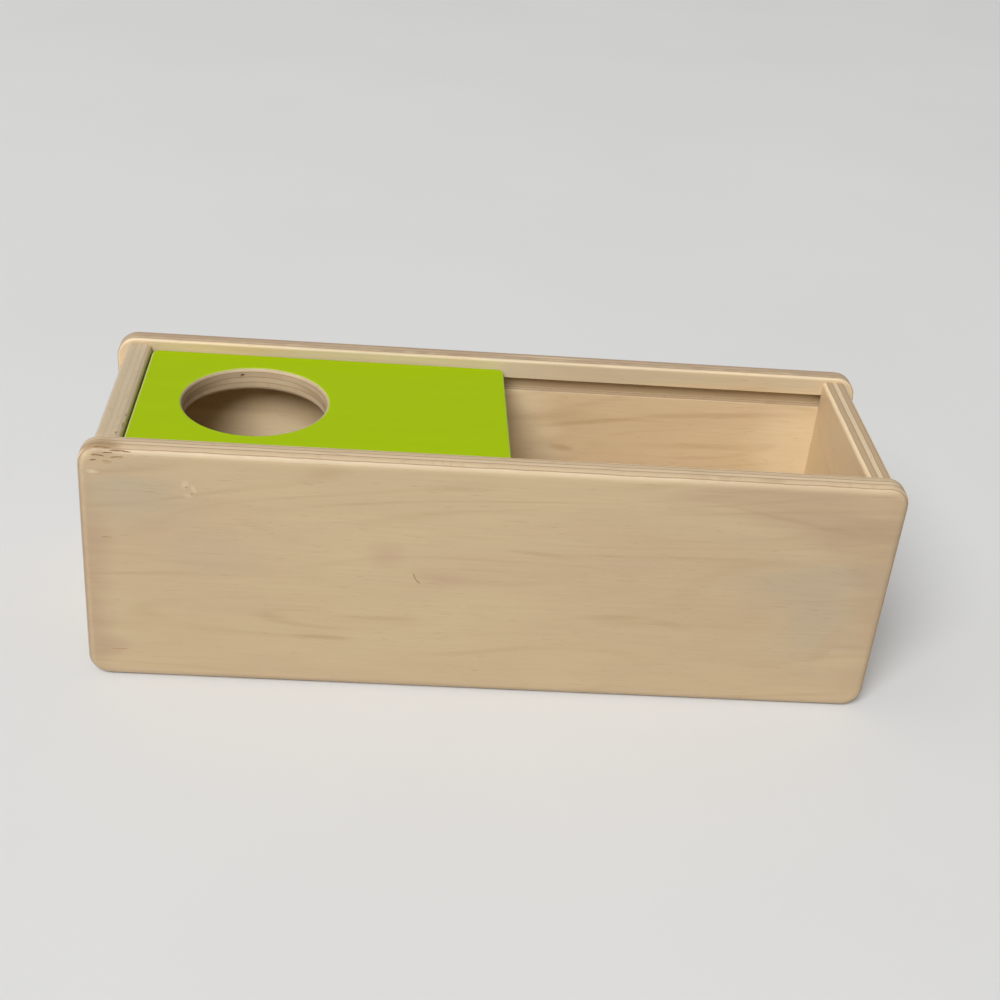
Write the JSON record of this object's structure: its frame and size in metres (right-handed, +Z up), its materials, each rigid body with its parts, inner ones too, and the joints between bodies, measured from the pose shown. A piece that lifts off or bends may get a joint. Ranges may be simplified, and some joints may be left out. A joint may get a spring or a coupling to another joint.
{
  "type": "object permanence box",
  "caption": "Long open-topped plywood toy box with a green half-length lid that slides in grooves and has a round hole to drop a ball through.",
  "frame": {"origin": "on the ground, under the middle of the box", "axes": "+X along the box, the way the lid slides to uncover the near end; -Y faces the user; +Z up"},
  "size_m": [0.26, 0.086, 0.086],
  "materials": {
    "birch_plywood": "fine sanded plywood with a thin matt lacquer",
    "green_lid": "satin lime green paint on plywood, bare in the hole",
    "dowel_beech": "plain turned dowel"
  },
  "bodies": {
    "box": {"front_panel": "birch_plywood", "back_panel": "birch_plywood", "left_end_board": "birch_plywood", "right_end_board": "birch_plywood", "base_board": "birch_plywood", "front_left_dowels": "dowel_beech", "front_right_dowels": "dowel_beech", "back_left_dowels": "dowel_beech", "back_right_dowels": "dowel_beech"},
    "lid": {"sliding_lid": "green_lid"}
  },
  "joints": [
    {"name": "lid_slide", "type": "slide", "parent": "box", "child": "lid", "axis": [1, 0, 0], "range_m": [0, 0.1135]}
  ]
}
